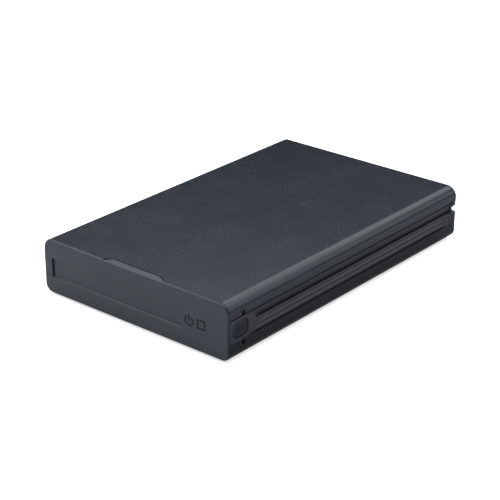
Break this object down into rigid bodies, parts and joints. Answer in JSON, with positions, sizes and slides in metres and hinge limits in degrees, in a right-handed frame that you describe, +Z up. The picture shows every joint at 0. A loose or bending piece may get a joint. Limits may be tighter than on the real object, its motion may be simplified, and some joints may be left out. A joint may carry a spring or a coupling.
{
  "type": "network attached storage device",
  "caption": "Slim single-drive network storage box with a hinged top cover, side release buttons, ribbed rails, rear sockets and a drive and server board inside",
  "frame": {"origin": "on the ground plane under the middle of the four feet, which is the bottom centre of the box", "axes": "+Z up, -Y out of the front face with the symbols, +Y towards the sockets and the hinge, +X to the right seen from the front"},
  "size_m": [0.124, 0.193, 0.031],
  "materials": {
    "cover_paint": "satin blue-grey paint with a fine sparkle",
    "lower_paint": "satin blue-grey paint with a fine sparkle",
    "bezel_plastic": "smooth satin blue-grey plastic",
    "rail_plastic": "satin blue-grey plastic with fine ribs",
    "panel_plastic": "matte blue-grey plastic",
    "button_plastic": "satin blue-grey plastic with grip lines",
    "latch_black": "black engineering plastic",
    "symbol_black": "black inlay",
    "pipe_clear": "milky clear plastic",
    "lamp_white": "pale lamp resin",
    "ribbon_white": "flat cable film",
    "foot_rubber": "soft black rubber",
    "screw_steel": "zinc-plated steel",
    "pin_steel": "ground steel",
    "spring_steel": "spring steel strip",
    "drive_cast": "die-cast aluminium",
    "drive_steel": "pressed steel",
    "board_green": "green circuit board",
    "chip_black": "moulded chip body",
    "sink_aluminium": "black anodised",
    "cap_aluminium": "aluminium can",
    "socket_black": "black moulded socket",
    "socket_steel": "tinned steel shield",
    "contact_gold": "gold-plated contacts",
    "tongue_plastic": "blue contact carrier",
    "switch_black": "black switch body",
    "rocker_black": "black rocker",
    "reset_black": "black button"
  },
  "bodies": {
    "chassis": {"lower_cover": "lower_paint", "front_bezel": "bezel_plastic", "side_rail_left": "rail_plastic", "side_rail_right": "rail_plastic", "rear_panel": "panel_plastic", "hinge_pins": "pin_steel", "power_symbol": "symbol_black", "square_symbol": "symbol_black", "light_pipes": "pipe_clear", "led_board": "board_green", "led_lamps": "lamp_white", "led_ribbon": "ribbon_white", "latch_spring_left": "spring_steel", "latch_spring_right": "spring_steel", "rubber_feet": "foot_rubber", "rail_screws": "screw_steel", "bezel_screws": "screw_steel", "panel_screws": "screw_steel", "drive_screws": "screw_steel", "drive_case": "drive_cast", "drive_lid": "drive_steel", "drive_lid_screws": "screw_steel", "drive_board": "board_green", "drive_plug": "socket_black", "main_board": "board_green", "board_screws": "screw_steel", "processor": "chip_black", "heat_sink": "sink_aluminium", "board_chips": "chip_black", "board_capacitors": "cap_aluminium", "network_transformer": "chip_black", "drive_socket": "socket_black", "network_socket": "socket_steel", "network_contacts": "contact_gold", "usb_shell": "socket_steel", "usb_tongue": "tongue_plastic", "power_inlet": "socket_black", "inlet_pin": "pin_steel", "switch_housing": "switch_black", "reset_switch": "switch_black"},
    "lid": {"top_cover": "cover_paint"},
    "latch_left": {"latch_button_left": "button_plastic", "latch_plate_left": "latch_black"},
    "latch_right": {"latch_button_right": "button_plastic", "latch_plate_right": "latch_black"},
    "rocker": {"power_rocker": "rocker_black"},
    "reset": {"reset_button": "reset_black"}
  },
  "joints": [
    {"name": "lid_hinge", "type": "hinge", "parent": "chassis", "child": "lid", "pos_m": [0, 0.0949, 0.0235], "axis": [-1, 0, 0], "range_deg": [0, 80]},
    {"name": "latch_left_press", "type": "slide", "parent": "chassis", "child": "latch_left", "axis": [1, 0, 0], "range_m": [0, 0.002], "stiffness_N_per_m": 1200, "springref_m": -0.0008, "deforming": ["latch_spring_left"]},
    {"name": "latch_right_press", "type": "slide", "parent": "chassis", "child": "latch_right", "axis": [-1, 0, 0], "range_m": [0, 0.002], "stiffness_N_per_m": 1200, "springref_m": -0.0008, "deforming": ["latch_spring_right"]},
    {"name": "power_rocker_turn", "type": "hinge", "parent": "chassis", "child": "rocker", "pos_m": [-0.023, 0.0915, 0.0111], "axis": [0, 0, 1], "range_deg": [0, 16]},
    {"name": "reset_press", "type": "slide", "parent": "chassis", "child": "reset", "axis": [0, -1, 0], "range_m": [0, 0.0008], "stiffness_N_per_m": 1500, "springref_m": -0.0004}
  ]
}
